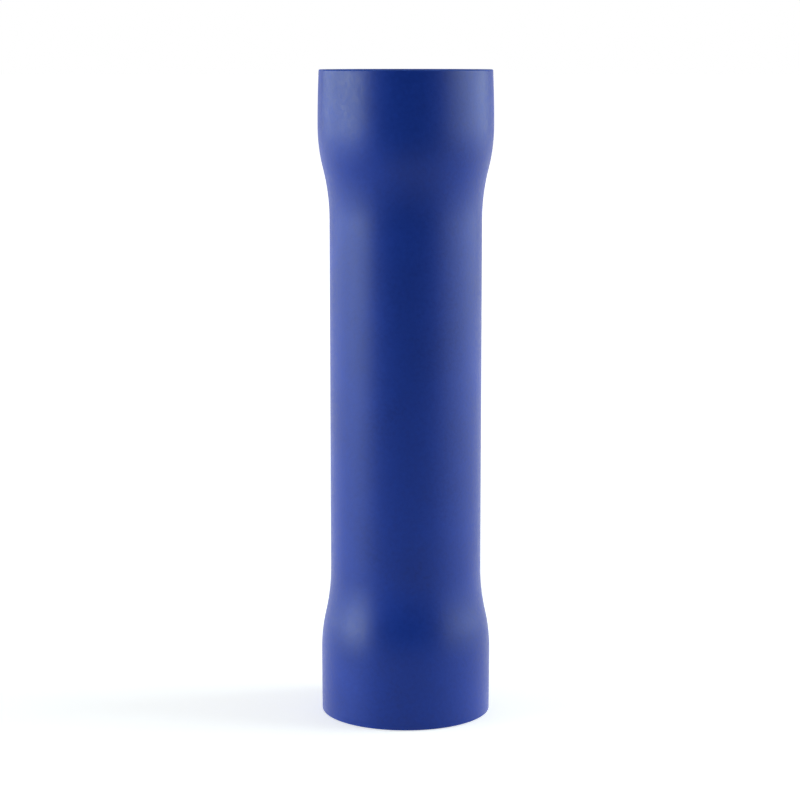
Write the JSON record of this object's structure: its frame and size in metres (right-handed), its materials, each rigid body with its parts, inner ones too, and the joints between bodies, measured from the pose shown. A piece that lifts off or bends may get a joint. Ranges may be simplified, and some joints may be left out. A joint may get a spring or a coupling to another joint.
{
  "type": "butt splice connector",
  "caption": "Insulated butt splice: a metal crimp barrel with a centre wire stop inside a necked plastic sleeve with a bell mouth at each end, which joins wires end to end.",
  "frame": {"origin": "centre of the lower rim, on the plane that the connector stands on", "axes": "+Z along the tube's axis, from the lower bell mouth to the upper one"},
  "size_m": [0.0068, 0.0068, 0.025],
  "materials": {
    "sleeve_plastic": "satin",
    "tinned_copper": "satin"
  },
  "bodies": {
    "root": {"insulating_sleeve": "sleeve_plastic", "crimp_barrel": "tinned_copper"}
  },
  "joints": []
}
